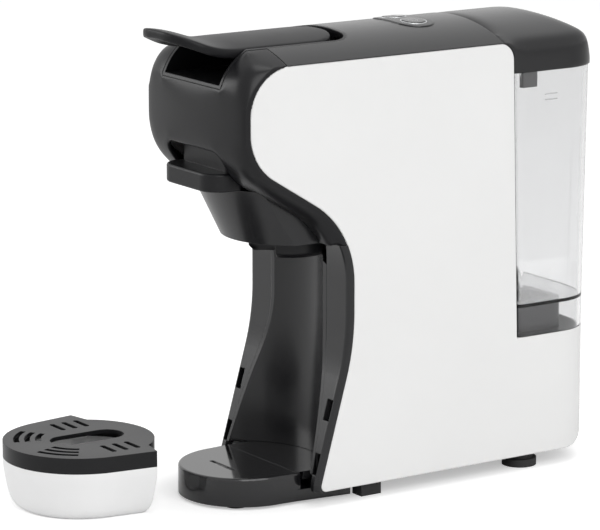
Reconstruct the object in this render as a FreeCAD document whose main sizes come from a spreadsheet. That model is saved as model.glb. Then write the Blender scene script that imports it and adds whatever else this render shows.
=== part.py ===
import FreeCAD, Part
import math
import os
import re

Vector = FreeCAD.Vector

# Pod coffee machine: +Z up, front towards -Y, origin on the counter in the plane of symmetry.
# All sizes are millimetres. Depths named "front" are counted forwards, towards -Y.
drivingSizes = {
    "body_width": 112,
    "side_height": 279,
    "crown_rise": 12,
    "sole_height": 9.5,
    "nose_front": 122.3,
    "chin_height": 220.5,
    "throat_front": 46.6,
    "throat_height": 173.5,
    "waist_height": 100.1,
    "toe_front": 72.3,
    "rear_depth": 147,
    "deck_height": 88,
    "notch_foot": 80,
    "notch_head": 74.5,
    "brow_radius": 30,
    "chin_radius": 35,
    "throat_radius": 60,
    "waist_radius": 150,
    "heel_radius": 26,
    "corner_radius": 30,
    "panel_wall": 3,
    "shell_wall": 2.4,
    "head_swell": 9.5,
    "frame_swell": 4,
    "head_seam": 95.5,
    "lid_seam": 67,
    "head_underside": 164,
    "drawer_floor": 200.5,
    "drawer_height": 23.5,
    "drawer_width": 52,
    "handle_width": 60,
    "handle_front": 134.5,
    "handle_height": 11.5,
    "brew_front": 80,
    "snout_axis_front": 51,
    "snout_radius": 49,
    "snout_flare": 17,
    "snout_width": 80,
    "base_radius": 40.5,
    "base_front_centre": 93,
    "base_top": 20.2,
    "base_bottom": 2,
    "splash_radius": 50.5,
    "splash_top": 157,
    "lever_width": 60,
    "lever_thickness": 6,
    "lever_tip_front": 155,
    "lever_tip_height": 300,
    "lever_rear_front": 36,
    "pivot_front": 48,
    "pivot_height": 282,
    "pivot_radius": 2.5,
    "well_floor": 267,
    "cam_radius": 30,
    "piston_stroke": 8,
    "lever_swing": 75,
    "piston_radius": 17,
    "post_radius": 3,
    "button_radius": 7.4,
    "button_spacing": 22,
    "button_depth": 29,
    "tank_wall": 2.2,
    "tank_top": 259,
    "tank_floor": 107,
    "tank_front": 81.5,
    "tank_rear": 149.5,
    "foot_radius": 11.2,
    "tray_radius": 49,
    "tray_height": 31,
    "tray_wall": 2,
    "grate_skirt": 10,
    "tray_side": 39,
    "tray_front": 187,
    "running_gap": 0.05,
    "clear_gap": 0.4,
}

doc = FreeCAD.newDocument("pod_coffee_machine")
size = doc.addObject("Spreadsheet::Sheet", "size")
for row, (alias, number) in enumerate(drivingSizes.items(), start=1):
    size.set(f"A{row}", alias.replace("_", " "))
    size.set(f"B{row}", str(number))
    size.setAlias(f"B{row}", alias)
doc.recompute()

aliasWords = re.compile(r"\b(" + "|".join(drivingSizes) + r")\b")
subParts = []


# Writes the sheet's name before each alias of a formula.
def bound(formula):
    return aliasWords.sub(r"size.\1", str(formula))


# A primitive whose sizes and place are formulas of the sheet's aliases.
def primitive(kind, name, at, turn=None, **sizes):
    piece = doc.addObject("Part::" + kind, name)
    if turn:
        piece.Placement = FreeCAD.Placement(Vector(), turn)
    for prop, formula in sizes.items():
        piece.setExpression(prop, bound(formula))
    for axis, formula in zip("xyz", at):
        piece.setExpression("Placement.Base." + axis, bound(formula))
    return piece


alongX = FreeCAD.Rotation(Vector(0, 1, 0), 90)
alongY = FreeCAD.Rotation(Vector(1, 0, 0), -90)


def box(name, at, length, width, height):
    return primitive("Box", name, at, Length=length, Width=width, Height=height)


def rod(name, at, radius, length, turn=None):
    return primitive("Cylinder", name, at, turn, Radius=radius, Height=length)


def fuse(name, *pieces):
    joined = doc.addObject("Part::MultiFuse", name)
    joined.Shapes = list(pieces)
    joined.Refine = True
    return joined


def cut(name, base, *tools):
    result = doc.addObject("Part::Cut", name)
    result.Base = base
    result.Tool = tools[0] if len(tools) == 1 else fuse(name + "_tools", *tools)
    return result


# Separate solids that share one node, such as a set of feet.
def group(name, *pieces):
    result = doc.addObject("Part::Compound", name)
    result.Links = list(pieces)
    return result


def formed(name, shape, place=FreeCAD.Placement()):
    piece = doc.addObject("Part::Feature", name)
    piece.Shape = shape
    piece.Placement = place
    return piece


def subPart(piece):
    subParts.append(piece)
    return piece


# A mirrored twin across the plane of symmetry.
def twin(name, piece):
    result = doc.addObject("Part::Mirroring", name)
    result.Source = piece
    result.Normal = Vector(1, 0, 0)
    return result


# Corners are (u, v, radius). Lines and tangent arcs run through them.
def roundedWire(corners, place):
    starts, ends, edges = [], [], []
    count = len(corners)
    for index in range(count):
        u, v, radius = corners[index]
        corner = Vector(u, v, 0)
        before = Vector(*corners[index - 1][:2], 0) - corner
        after = Vector(*corners[(index + 1) % count][:2], 0) - corner
        before.normalize()
        after.normalize()
        half = before.getAngle(after) / 2
        reach = radius / math.tan(half)
        start = corner + before * reach
        end = corner + after * reach
        if radius > 0:
            inward = (before + after).normalize()
            middle = corner + inward * (radius / math.sin(half) - radius)
            edges.append(Part.Arc(place(start), place(middle), place(end)).toShape())
        starts.append(start)
        ends.append(end)
    for index in range(count):
        start, end = ends[index - 1], starts[index]
        if (end - start).Length > 1e-6:
            edges.append(Part.LineSegment(place(start), place(end)).toShape())
    return Part.Wire(Part.__sortEdges__(edges))


def sidePlace(point):
    return Vector(0, point.x, point.y)


def planPlace(point):
    return Vector(point.x, point.y, 0)


# A solid between two planes across X, with the outline given as (y, z, radius) corners.
def acrossX(corners, left, right):
    face = Part.Face(roundedWire(corners, sidePlace))
    face.translate(Vector(left, 0, 0))
    return face.extrude(Vector(right - left, 0, 0))


# A solid between two heights, with the outline given as (x, y, radius) corners.
def upright(corners, bottom, top):
    face = Part.Face(roundedWire(corners, planPlace))
    face.translate(Vector(0, 0, bottom))
    return face.extrude(Vector(0, 0, top - bottom))


# Moves every side of a counterclockwise outline outwards and grows or shrinks its corner radii.
def swollen(corners, distance):
    moved = []
    count = len(corners)
    for index in range(count):
        u, v, radius = corners[index]
        corner = Vector(u, v, 0)
        along = (corner - Vector(*corners[index - 1][:2], 0)).normalize()
        onward = (Vector(*corners[(index + 1) % count][:2], 0) - corner).normalize()
        outward = Vector(along.y, -along.x, 0) + Vector(onward.y, -onward.x, 0)
        corner = corner + outward * (distance / (1 + along.dot(onward)))
        convex = along.cross(onward).z > 0
        grown = radius + distance if convex else radius - distance
        moved.append((corner.x, corner.y, max(grown, 0) if radius > 0 else 0))
    return moved


def slab(xLow, xHigh, yLow, yHigh, zLow, zHigh):
    return Part.makeBox(xHigh - xLow, yHigh - yLow, zHigh - zLow, Vector(xLow, yLow, zLow))


def drum(radius, bottom, top, y, x=0):
    return Part.makeCylinder(radius, top - bottom, Vector(x, y, bottom))


half = size.body_width / 2
inside = half - size.panel_wall
crownTop = size.side_height + size.crown_rise
far = 400


# The front line of the side panels: brow, chin, throat, waist and toe, counterclockwise.
def frontCorners(top):
    return [
        (-size.nose_front, top, size.brow_radius),
        (-size.nose_front, size.chin_height, size.chin_radius),
        (-size.throat_front, size.throat_height, size.throat_radius),
        (-size.throat_front, size.waist_height, size.waist_radius),
        (-size.toe_front, size.sole_height, 4),
    ]


panelOutline = frontCorners(size.side_height) + [
    (size.rear_depth, size.sole_height, size.heel_radius),
    (size.rear_depth, size.deck_height, 1.5),
    (size.notch_foot, size.deck_height, 1.2),
    (size.notch_head, size.side_height, 11),
]


# The black front swells out from the panels' front line and rounds into their side planes.
def swollenFront(swell, top):
    outline = swollen(frontCorners(top) + [(0, size.sole_height, 0), (0, top, 0)], swell)
    blank = acrossX(outline, -half, half)
    sideEdges = [edge for edge in blank.Edges
                 if abs(abs(edge.CenterOfMass.x) - half) < 1e-6 and edge.CenterOfMass.y < -swell]
    return blank.makeFillet(swell, sideEdges)


# Everything under the crowned top, an arc across the width that runs on past the sides.
crownRadius = (half ** 2 + size.crown_rise ** 2) / (2 * size.crown_rise)
crownReach = half + 8
crownSide = crownTop - crownRadius + math.sqrt(crownRadius ** 2 - crownReach ** 2)


def underCrown(drop, yLow, yHigh):
    left = Vector(-crownReach, yLow, crownSide - drop)
    middle = Vector(0, yLow, crownTop - drop)
    right = Vector(crownReach, yLow, crownSide - drop)
    low = Vector(0, 0, -size.side_height)
    edges = [
        Part.Arc(left, middle, right).toShape(),
        Part.LineSegment(right, right + low).toShape(),
        Part.LineSegment(right + low, left + low).toShape(),
        Part.LineSegment(left + low, left).toShape(),
    ]
    return Part.Face(Part.Wire(edges)).extrude(Vector(0, yHigh - yLow, 0))


# Plan of the body: square in front, rounded corners at the rear.
def bodyPlan(inset, yFront, yRear):
    corner = size.corner_radius - inset
    reach = half - inset
    return [(-reach, yFront, 0), (reach, yFront, 0), (reach, yRear, corner), (-reach, yRear, corner)]


insidePanels = acrossX(panelOutline, -half, half)
bodySkin = upright(bodyPlan(0, -far, size.rear_depth), 0, far)
bodySkin = bodySkin.cut(upright(bodyPlan(size.panel_wall, -far, size.rear_depth - size.panel_wall), 0, far))
backWidth = 60
backLow, backHigh = 26, size.deck_height - 6


# White side panels wrap round the rear corners and leave a window for the back cover.
def sidePanel(name, side):
    shape = insidePanels.common(bodySkin)
    shape = shape.cut(slab(-backWidth / 2, backWidth / 2, 0, far, backLow, backHigh))
    keep = slab(0, far, -far, far, 0, far) if side > 0 else slab(-far, 0, -far, far, 0, far)
    shape = shape.common(keep)
    rim = [edge for edge in shape.Edges
           if abs(edge.CenterOfMass.x - side * half) < 1e-6 and edge.CenterOfMass.y < size.notch_head]
    return subPart(formed(name, shape.makeFillet(0.8, rim)))


sidePanel("left_panel", -1)
sidePanel("right_panel", 1)

# Rear cover between the panels: upright vent slots and a round seat for the cord gland.
glandHeight = 44
rearSkin = slab(-backWidth / 2, backWidth / 2, size.rear_depth - size.panel_wall, size.rear_depth,
                backLow, backHigh)
ventCount, ventPitch, ventWidth = 5, 5, 2.4
for index in range(ventCount):
    ventX = (index - (ventCount - 1) / 2) * ventPitch
    rearSkin = rearSkin.cut(slab(ventX - ventWidth / 2, ventX + ventWidth / 2, 0, far, 58, backHigh - 5))
glandRadius = 6
glandBore = Part.makeCylinder(glandRadius, far, Vector(0, 0, glandHeight), Vector(0, 1, 0))
subPart(formed("back_cover", rearSkin.cut(glandBore)))

gland = fuse(
    "gland_blank",
    rod("gland_neck", (0, "rear_depth-panel_wall-4", glandHeight), glandRadius, "panel_wall+4", alongY),
    rod("gland_flange", (0, "rear_depth", glandHeight), glandRadius + 2, 2.5, alongY),
)
cordHole = rod("gland_hole", (0, "rear_depth-panel_wall-4", glandHeight), 3.6, far, alongY)
subPart(cut("cord_gland", gland, cordHole))

# Lever well outline in plan, shared by the cover cut-outs and the well itself.
leverHalf = size.lever_width / 2
wellGap, wellWall = 1, 2
wellRear = -size.lever_rear_front + 4


# The well's rear corners are tighter than the lever's, so the lever's shoulders clear them as it turns.
wellCorner = 12


def wellPlan(grow, rear):
    reach = leverHalf + grow
    corner = wellCorner + grow
    return [(-reach, -far, 0), (reach, -far, 0), (reach, rear, corner), (-reach, rear, corner)]


wellOuter = wellPlan(wellGap + wellWall, wellRear + wellWall)
wellInner = wellPlan(wellGap, wellRear)
wellBottom = size.well_floor - wellWall
wellBlock = upright(wellOuter, wellBottom, far)

# Head form: the swollen front under the crown, with a slightly bowed nose.
headTop = crownTop + 0.5 - size.head_swell
noseFront = size.nose_front + size.head_swell
noseBow = 330
headForm = swollenFront(size.head_swell, headTop).common(underCrown(0, -far, far))
headForm = headForm.common(drum(noseBow, 0, far, noseBow - noseFront))

# Drawer opening in the head front, arched over the handle.
archWidth = size.handle_width + 2
archTop = size.drawer_floor + size.drawer_height + 1.5
drawerMouth = Part.Face(roundedWire([
    (-archWidth / 2, size.drawer_floor - 1, 0),
    (archWidth / 2, size.drawer_floor - 1, 0),
    (archWidth / 2, archTop, 8),
    (-archWidth / 2, archTop, 8),
], lambda point: Vector(point.x, -far, point.y))).extrude(Vector(0, far, 0))

hollow = acrossX(swollen(frontCorners(headTop) + [(0, size.sole_height, 0), (0, headTop, 0)],
                         size.head_swell - size.shell_wall), size.head_swell - half, half - size.head_swell)
hollow = hollow.common(underCrown(size.shell_wall, -far, far))
hollow = hollow.common(drum(noseBow - size.shell_wall, -1, far, noseBow - noseFront))
snoutHalf = size.snout_width / 2
headShell = headForm.cut(hollow).cut(insidePanels)
headShell = headShell.cut(slab(-far, far, -size.head_seam, far, size.throat_height + 40, far))
headShell = headShell.cut(slab(-far, far, -far, far, 0, size.head_underside))
headShell = headShell.cut(slab(-snoutHalf, snoutHalf, -far, far, 0, size.drawer_floor))
headShell = headShell.cut(drawerMouth).cut(wellBlock)
subPart(formed("head_shell", headShell))

# Lower head cover: a flared half cone under the drawer, open on top, with a port for the spout.
snoutTop = size.drawer_floor - 0.5
flareHeight = snoutTop - size.head_underside
snoutPlace = Vector(0, -size.snout_axis_front, size.head_underside)
snoutRear = -size.throat_front + 6.6
snoutRoom = slab(-snoutHalf, snoutHalf, -far, snoutRear, size.head_underside, snoutTop)
outer = Part.makeCone(size.snout_radius, size.snout_radius + size.snout_flare, flareHeight, snoutPlace)
innerRadius = size.snout_radius - size.shell_wall
inner = Part.makeCone(innerRadius, innerRadius + size.snout_flare, flareHeight,
                      snoutPlace + Vector(0, 0, size.shell_wall))
snoutHollow = inner.common(slab(size.shell_wall - snoutHalf, snoutHalf - size.shell_wall, -far,
                                snoutRear - size.shell_wall, 0, far))
spoutPort = 12
snout = outer.common(snoutRoom).cut(snoutHollow).cut(drum(spoutPort, 0, far, -size.brew_front))
subPart(formed("snout_cover", snout))


# Column: side frames follow the panels' front line, a concave splash plate stands between them.
columnForm = swollenFront(size.frame_swell, headTop)
columnRoom = slab(-far, far, -far, 0, size.sole_height, size.head_underside)
splashBack = size.splash_radius + size.shell_wall
recess = drum(splashBack, 0, far, -size.base_front_centre)
hookWidth, hookHeight = 6, 13
hookAcross = half - hookWidth
hookLow, hookHigh = 26.8, 59.9
frame = columnForm.cut(insidePanels).common(columnRoom).cut(recess)
for hookZ in (hookLow, hookHigh):
    for side in (-1, 1):
        hookX = side * hookAcross
        frame = frame.cut(slab(hookX - hookWidth / 2, hookX + hookWidth / 2, -far, 0,
                               hookZ - hookHeight / 2, hookZ + hookHeight / 2))
frameSides = [solid for solid in frame.Solids if abs(solid.CenterOfMass.x) > size.base_radius / 2]
subPart(formed("column_frame", Part.Compound(frameSides)))

archRadius = size.splash_top - 97
archCentre = Vector(0, -far, size.splash_top - archRadius)
splashArch = Part.makeCylinder(archRadius, far, archCentre, Vector(0, 1, 0))
splashArch = splashArch.fuse(slab(-half, half, -far, 0, 0, size.splash_top - archRadius))
splash = recess.cut(drum(size.splash_radius, 0, far, -size.base_front_centre))
splash = splash.common(columnForm).common(splashArch)
splash = splash.common(slab(-far, far, -far, 0, size.base_top, size.splash_top))
subPart(formed("splash_plate", splash))

# Base: a round foot in front, a recess floor under the splash plate and a tongue under the body.
baseY = -size.base_front_centre
baseRear = -size.toe_front - size.frame_swell - 0.5
tongueRear, tongueHalf = -42, 45.5
baseSide = size.base_radius + 0.8
foot = drum(size.base_radius, size.base_bottom, size.base_top, baseY)
foot = foot.fuse(upright([(-size.base_radius, baseY, 0), (size.base_radius, baseY, 0),
                          (baseSide, baseRear, 0), (-baseSide, baseRear, 0)],
                         size.base_bottom, size.base_top))
foot = foot.cut(drum(size.base_radius - size.shell_wall, 0, size.base_top - size.shell_wall, baseY))
foot = foot.common(slab(-far, far, -far, baseRear, 0, far))
recessFloor = drum(splashBack, size.base_top - 5, size.base_top, baseY)
recessFloor = recessFloor.common(slab(-snoutHalf, snoutHalf, baseRear, 0, 0, far)).common(columnForm)
tongue = upright([(-baseSide, baseRear - 2, 0), (baseSide, baseRear - 2, 0),
                  (tongueHalf, tongueRear, 0), (-tongueHalf, tongueRear, 0)],
                 size.base_bottom, size.sole_height)
padAcross, padFront, padRadius = 22, 112, 7
base = foot.fuse([recessFloor, tongue])
for side in (-1, 1):
    base = base.fuse(drum(padRadius + 1.5, size.base_bottom, size.base_top, -padFront, side * padAcross))
lensHalf, lensFront, lensWidth = 13.5, 108, 3
lensNear, lensFar = -lensFront - lensWidth / 2, -lensFront + lensWidth / 2
lensSlot = upright([(-lensHalf, lensNear, 1.4), (lensHalf, lensNear, 1.4),
                    (lensHalf, lensFar, 1.4), (-lensHalf, lensFar, 1.4)],
                   size.base_top - 1, far)
base = base.cut(lensSlot).removeSplitter()
rimEdges = [edge for edge in base.Edges
            if abs(edge.CenterOfMass.z - size.base_top) < 1e-6 and edge.Length > 2 * size.base_radius
            and edge.BoundBox.YMin < baseY - size.base_radius / 2]
subPart(formed("front_base", base.makeFillet(1.5, rimEdges)))

pads = [rod("pad_right", (padAcross, -padFront, 0), padRadius, "base_bottom"),
        rod("pad_left", (-padAcross, -padFront, 0), padRadius, "base_bottom")]
subPart(group("base_pads", *pads))

plateThick = 3
plateTop = size.sole_height + plateThick
plateRear = size.rear_depth - size.heel_radius
plate = upright([(-inside, -size.toe_front + 8, 2), (inside, -size.toe_front + 8, 2),
                 (inside, plateRear, 20), (-inside, plateRear, 20)], size.sole_height, plateTop)
plate = plate.common(insidePanels)
for index in range(6):
    plate = plate.cut(slab(-24, 24, 20 + 8 * index, 23 + 8 * index, 0, far))
subPart(formed("bottom_plate", plate))

blockWide = 10
blocks = [box("foot_block_right", (49 - blockWide, -36, 0), blockWide, 15, "sole_height"),
          box("foot_block_left", (-49, -36, 0), blockWide, 15, "sole_height")]
subPart(group("front_feet", *blocks))
rearFoot = fuse("rear_foot_right",
                rod("rear_foot_pad", (41, 94, 0), "foot_radius", 5),
                rod("rear_foot_stem", (41, 94, 5), "foot_radius-2.5", "sole_height-5"))
subPart(group("rear_feet", rearFoot, twin("rear_foot_left", rearFoot)))

# Top cover: a crowned lid between head and tank, cut round the lever well and the button bezel.
bezelRadius = size.button_radius + 5.6
bezelHalf = size.button_spacing / 2
abovePanels = slab(-far, far, -far, far, size.side_height, far)
coverForm = underCrown(0, -size.head_seam, size.lid_seam).common(abovePanels)
coverHollow = underCrown(size.shell_wall, -size.head_seam + size.shell_wall, size.lid_seam - size.shell_wall)


def stadium(radius, bottom, top):
    reach = bezelHalf + radius
    return upright([(-reach, size.button_depth - radius, radius - 0.01),
                    (reach, size.button_depth - radius, radius - 0.01),
                    (reach, size.button_depth + radius, radius - 0.01),
                    (-reach, size.button_depth + radius, radius - 0.01)], bottom, top)


boardTop = crownTop - 19
cover = coverForm.cut(coverHollow).cut(wellBlock).cut(stadium(bezelRadius, 0, far))
boardHalf, boardFront, boardRear = 34, 4, 56
postAt = [(side * (boardHalf - 5), y) for side in (-1, 1) for y in (boardFront + 5, boardRear - 5)]
underCover = underCrown(size.shell_wall / 2, -far, far)
for x, y in postAt:
    cover = cover.fuse(drum(3, boardTop, far, y, x).common(underCover))
subPart(formed("top_cover", cover.removeSplitter()))

# Bezel rides one step proud of the crown, with two button wells.
bezelTop = crownTop + 0.6
bezelBottom = crownTop - 5
buttonWell = size.button_radius + size.clear_gap
bezel = stadium(bezelRadius, bezelBottom, bezelTop)
for side in (-1, 1):
    bezel = bezel.cut(drum(buttonWell, 0, far, size.button_depth, side * bezelHalf))
subPart(formed("button_bezel", bezel))

flangeThick = 1.5
switchHeight, pressRoom = 3.5, 1.6
stemLength = bezelBottom - flangeThick - boardTop - switchHeight - pressRoom
for side, name in ((-1, "left_button"), (1, "right_button")):
    at = f"{side}*button_spacing/2"
    button = fuse(
        name,
        rod(name + "_cap", (at, "button_depth", bezelBottom - flangeThick), "button_radius",
            bezelTop + 0.6 - bezelBottom + flangeThick),
        rod(name + "_flange", (at, "button_depth", bezelBottom - flangeThick), "button_radius+2",
            flangeThick),
        rod(name + "_stem", (at, "button_depth", bezelBottom - flangeThick - stemLength), 2, stemLength),
    )
    subPart(button)


# Lever well: a trench under the lever, open in front for fingers, slotted for the cams.
pivotY = -size.pivot_front
pivotZ = size.pivot_height
camInner, camOuter = 12, 16
camSlot = 1
camReach = size.cam_radius + 2
well = wellBlock.common(headForm).cut(upright(wellInner, size.well_floor, far))
pinEnd = leverHalf + wellGap + wellWall
for side in (-1, 1):
    low, high = sorted((side * (camInner - camSlot), side * (camOuter + camSlot)))
    well = well.cut(slab(low, high, pivotY - camReach, pivotY + camReach, 0, pivotZ + 4))
pinHole = Part.makeCylinder(size.pivot_radius, 2 * pinEnd, Vector(-pinEnd, pivotY, pivotZ), Vector(1, 0, 0))
subPart(formed("lever_well", well.cut(pinHole).removeSplitter()))
subPart(rod("lever_pin", (-pinEnd, "-pivot_front", "pivot_height"), "pivot_radius", 2 * pinEnd, alongX))

# Lever: crowned sections lofted from the flush rear to the raised lip, trimmed to a round-ended plan.
lipRise = size.lever_tip_height - crownTop
lipStart = size.lever_tip_front - 39
sectionFirst, sectionLast = size.lever_rear_front - 8, size.lever_tip_front + 4
sectionSteps = 12


# The lip rises in an S, level at both ends.
def lipHeight(front):
    run = (front - lipStart) / (sectionLast - lipStart)
    run = min(max(run, 0), 1)
    return lipRise * run * run * (3 - 2 * run)


def leverSection(step):
    front = sectionFirst + (sectionLast - sectionFirst) * step / sectionSteps
    reach = leverHalf + 4
    sag = crownRadius - math.sqrt(crownRadius ** 2 - reach ** 2)
    top = crownTop + lipHeight(front)
    drop = Vector(0, 0, -size.lever_thickness)
    leftEnd = Vector(-reach, -front, top - sag)
    apex = Vector(0, -front, top)
    rightEnd = Vector(reach, -front, top - sag)
    upper = Part.Arc(leftEnd, apex, rightEnd)
    lower = Part.Arc(rightEnd + drop, apex + drop, leftEnd + drop)
    right = Part.LineSegment(upper.EndPoint, lower.StartPoint)
    left = Part.LineSegment(lower.EndPoint, upper.StartPoint)
    return Part.Wire([curve.toShape() for curve in (upper, right, lower, left)])


lever = Part.makeLoft([leverSection(step) for step in range(sectionSteps + 1)], True)
tipY = -size.lever_tip_front
rearY = -size.lever_rear_front
lever = lever.common(upright([(-leverHalf, tipY, 23), (leverHalf, tipY, 23),
                              (leverHalf, rearY, 24), (-leverHalf, rearY, 24)], 0, far))
hubRadius, hubHalf = 5, 24
hub = Part.makeCylinder(hubRadius, 2 * hubHalf, Vector(-hubHalf, pivotY, pivotZ), Vector(1, 0, 0))
lever = lever.fuse(hub)
ribInner, ribThick = 19, 3
for side in (-1, 1):
    low, high = sorted((side * ribInner, side * (ribInner + ribThick)))
    lever = lever.fuse(slab(low, high, pivotY - 60, pivotY, pivotZ - 4, crownTop - 4))
leverBore = Part.makeCylinder(size.pivot_radius + size.running_gap, far, Vector(-far / 2, pivotY, pivotZ),
                              Vector(1, 0, 0))
subPart(formed("lever", lever.cut(leverBore).removeSplitter()))

# Cams: the radius falls evenly with the angle, so the crosshead climbs evenly as the lever opens.
camFall = size.piston_stroke / math.radians(size.lever_swing)
camStart, camEnd, camSteps = -8, size.lever_swing + 4, 10


def camPoint(degrees, radius):
    angle = math.radians(degrees)
    return Vector(0, pivotY + radius * math.sin(angle), pivotZ - radius * math.cos(angle))


def camRim(degrees):
    return camPoint(degrees, size.cam_radius - camFall * math.radians(degrees))


rimCurve = Part.BSplineCurve()
rimCurve.interpolate([camRim(camStart + (camEnd - camStart) * step / camSteps)
                      for step in range(camSteps + 1)])
camWire = Part.Wire([
    rimCurve.toShape(),
    Part.LineSegment(camRim(camEnd), camPoint(camEnd, hubRadius)).toShape(),
    Part.Arc(camPoint(camEnd, hubRadius), camPoint((camStart + camEnd) / 2, hubRadius),
             camPoint(camStart, hubRadius)).toShape(),
    Part.LineSegment(camPoint(camStart, hubRadius), camRim(camStart)).toShape(),
])
camBlank = Part.Face(camWire).extrude(Vector(camOuter - camInner, 0, 0))
camPair = [camBlank.translated(Vector(camInner, 0, 0)), camBlank.translated(Vector(-camOuter, 0, 0))]
subPart(formed("lever_cams", Part.Compound(camPair)))

# Crosshead: a bridge that the cams let up, with the piston under its front end.
rollerRadius, camGap = 4, 0.6
axleZ = pivotZ - size.cam_radius - rollerRadius - camGap
crossTop = axleZ - 5.4
crossThick = 4
crossBottom = crossTop - crossThick
crossHalf = 31
brewY = -size.brew_front
postAcross, postY = 24, brewY - 14
crossFront = postY - 6
cross = slab(-crossHalf, crossHalf, crossFront, pivotY + 8, crossBottom, crossTop)
earAt = [(-21, -18), (-8, 8), (18, 21)]
for low, high in earAt:
    cross = cross.fuse(slab(low, high, pivotY - 4, pivotY + 4, crossBottom, axleZ + 3))
axleRadius = 1.5
axle = Part.makeCylinder(axleRadius, 42, Vector(-21, pivotY, axleZ), Vector(1, 0, 0))
pipeRadius = 2
cross = cross.cut(axle).cut(drum(pipeRadius + size.running_gap, 0, far, brewY))
for side in (-1, 1):
    cross = cross.cut(drum(size.post_radius + size.running_gap, 0, far, postY, side * postAcross))
subPart(formed("crosshead", cross.removeSplitter()))
subPart(formed("roller_axle", axle))
rollers = []
for low in (camInner, -camOuter):
    roller = Part.makeCylinder(rollerRadius, camOuter - camInner, Vector(low, pivotY, axleZ), Vector(1, 0, 0))
    rollers.append(roller.cut(axle))
subPart(formed("cam_rollers", Part.Compound(rollers)))

# Piston, its face seal and the needle plate hang under the crosshead.
drawerTop = size.drawer_floor + size.drawer_height
pistonBottom = drawerTop + 2
pistonDepth = 9
piston = fuse(
    "piston_blank",
    rod("piston_disc", (0, "-brew_front", pistonBottom), "piston_radius", pistonDepth),
    rod("piston_stem", (0, "-brew_front", pistonBottom + pistonDepth), 8,
        crossBottom - pistonBottom - pistonDepth),
)
pistonBore = rod("piston_bore", (0, "-brew_front", 0), f"{pipeRadius}+running_gap", far)
subPart(cut("brew_piston", piston, pistonBore))
seal = cut("piston_seal", rod("seal_ring", (0, "-brew_front", pistonBottom - 1.2), "piston_radius-1", 1.2),
           rod("seal_hole", (0, "-brew_front", pistonBottom - 2), "piston_radius-4", 4))
subPart(seal)
needlePlate = drum(9, pistonBottom - 0.8, pistonBottom, brewY).cut(drum(pipeRadius, 0, far, brewY))
needleCircle, needleDrop = 5.5, 0.8
for index in range(3):
    angle = math.radians(120 * index + 90)
    tipAt = Vector(needleCircle * math.cos(angle), brewY + needleCircle * math.sin(angle), pistonBottom - 0.8)
    needlePlate = needlePlate.fuse(Part.makeCone(1, 0.2, needleDrop, tipAt, Vector(0, 0, -1)))
subPart(formed("needle_plate", needlePlate))

# Brew frame: two cheeks, a drawer roof, a top plate and the drawer's rails.
cheekInner, cheekOuter = 33, 36
frameFront, frameRear = -100, -size.throat_front + 7.6
roofBottom, roofThick = pistonBottom + 0.5, 2.5
topBottom = wellBottom - 3
railZ = size.drawer_floor + 11.5
handleGap = 32
drawerFlange, railFront = 3, 0.5 - size.brew_front - handleGap
brewFrame = slab(-cheekInner, cheekInner, frameFront, frameRear, topBottom, wellBottom)
drawerRoof = slab(-cheekInner, cheekInner, frameFront, frameRear, roofBottom, roofBottom + roofThick)
brewFrame = brewFrame.fuse(drawerRoof)
for side in (-1, 1):
    low, high = sorted((side * cheekInner, side * cheekOuter))
    brewFrame = brewFrame.fuse(slab(low, high, frameFront, frameRear, size.drawer_floor, wellBottom))
    brewFrame = brewFrame.fuse(slab(low, high, railFront, frameRear, railZ - 3, railZ + drawerFlange + 3.4))
    low, high = sorted((side * (size.drawer_width / 2 + 1), side * cheekInner))
    brewFrame = brewFrame.fuse(slab(low, high, railFront, frameRear, railZ - 3, railZ))
    brewFrame = brewFrame.fuse(slab(low, high, railFront, frameRear, railZ + drawerFlange + size.clear_gap,
                                    railZ + drawerFlange + 3.4))
    low, high = sorted((side * (camInner - camSlot), side * (camOuter + camSlot)))
    brewFrame = brewFrame.cut(slab(low, high, pivotY - camReach, far, topBottom - 1, far))
brewFrame = brewFrame.cut(drum(size.piston_radius + size.clear_gap, 0, topBottom - 1, brewY))
subPart(formed("brew_frame", brewFrame.removeSplitter()))

postBottom = roofBottom + roofThick
posts = [rod("post_right", (postAcross, postY, postBottom), "post_radius", topBottom - postBottom),
         rod("post_left", (-postAcross, postY, postBottom), "post_radius", topBottom - postBottom)]
subPart(group("guide_posts", *posts))

springRadius, springWire, springTurns = 5, 0.8, 3
springHeight = crossBottom - postBottom - 2 * springWire
springPath = Part.makeHelix(springHeight / springTurns, springHeight, springRadius)
springStart = Part.Wire(Part.makeCircle(springWire, Vector(springRadius, 0, 0), Vector(0, 1, 0)))
coil = Part.Wire(springPath).makePipeShell([springStart], True, True)
coils = [coil.translated(Vector(side * postAcross, postY, postBottom + springWire)) for side in (-1, 1)]
subPart(formed("return_springs", Part.Compound(coils)))

# Water reaches the piston through a fixed pipe that telescopes into its bore.
blockBottom = topBottom - 7
feedPipe = fuse("feed_pipe",
                box("feed_block", (-6, "-brew_front-6", blockBottom), 12, 12, topBottom - blockBottom),
                rod("feed_tube", (0, "-brew_front", pistonBottom + 11), pipeRadius,
                    blockBottom - pistonBottom - 11))
subPart(feedPipe)

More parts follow.
